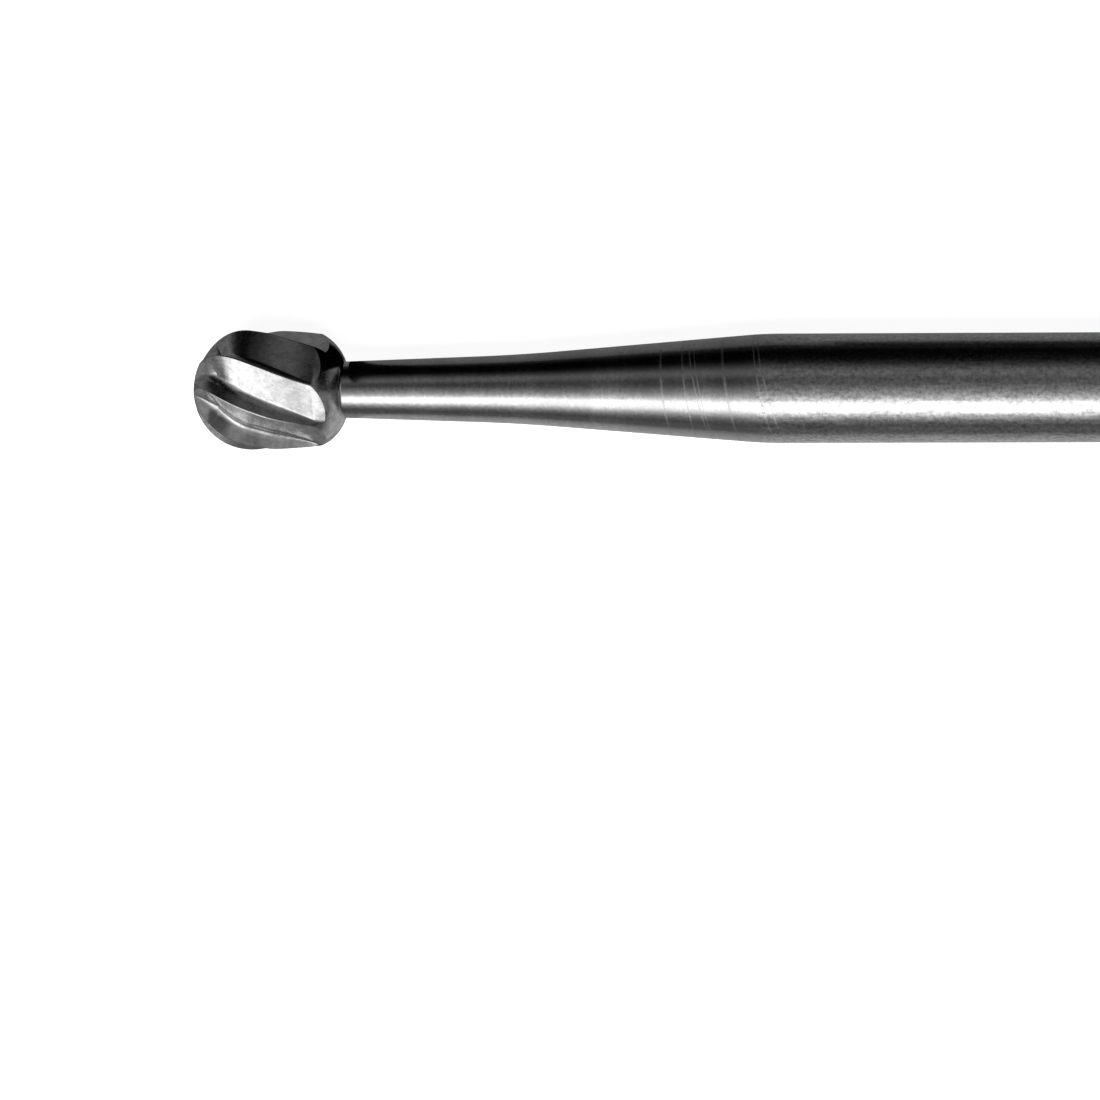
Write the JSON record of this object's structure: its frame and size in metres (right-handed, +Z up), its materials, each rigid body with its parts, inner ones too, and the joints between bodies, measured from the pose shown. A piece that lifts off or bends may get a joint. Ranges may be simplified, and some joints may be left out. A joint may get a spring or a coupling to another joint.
{
  "type": "carbide burr",
  "caption": "Round-nose carbide burr: a spirally fluted head brazed to a slim steel neck that flares out to a straight handpiece shank with a domed tail.",
  "frame": {"origin": "On the tool axis where the shank's cylinder ends, at the foot of the domed tail.", "axes": "+X runs along the tool axis from the cutting head to the tail, and is the way the shank leaves a collet drawn off it. +Z is up as the burr lies on a table. +Y completes the right-handed frame, across the burr."},
  "size_m": [0.0445, 0.0026, 0.0026],
  "materials": {
    "ground_carbide": "ground and lightly pitted, between satin and bright",
    "ground_steel": "ground bright, with fine turning rings on the neck"
  },
  "bodies": {
    "root": {"carbide_head": "ground_carbide", "steel_shank": "ground_steel"}
  },
  "joints": []
}
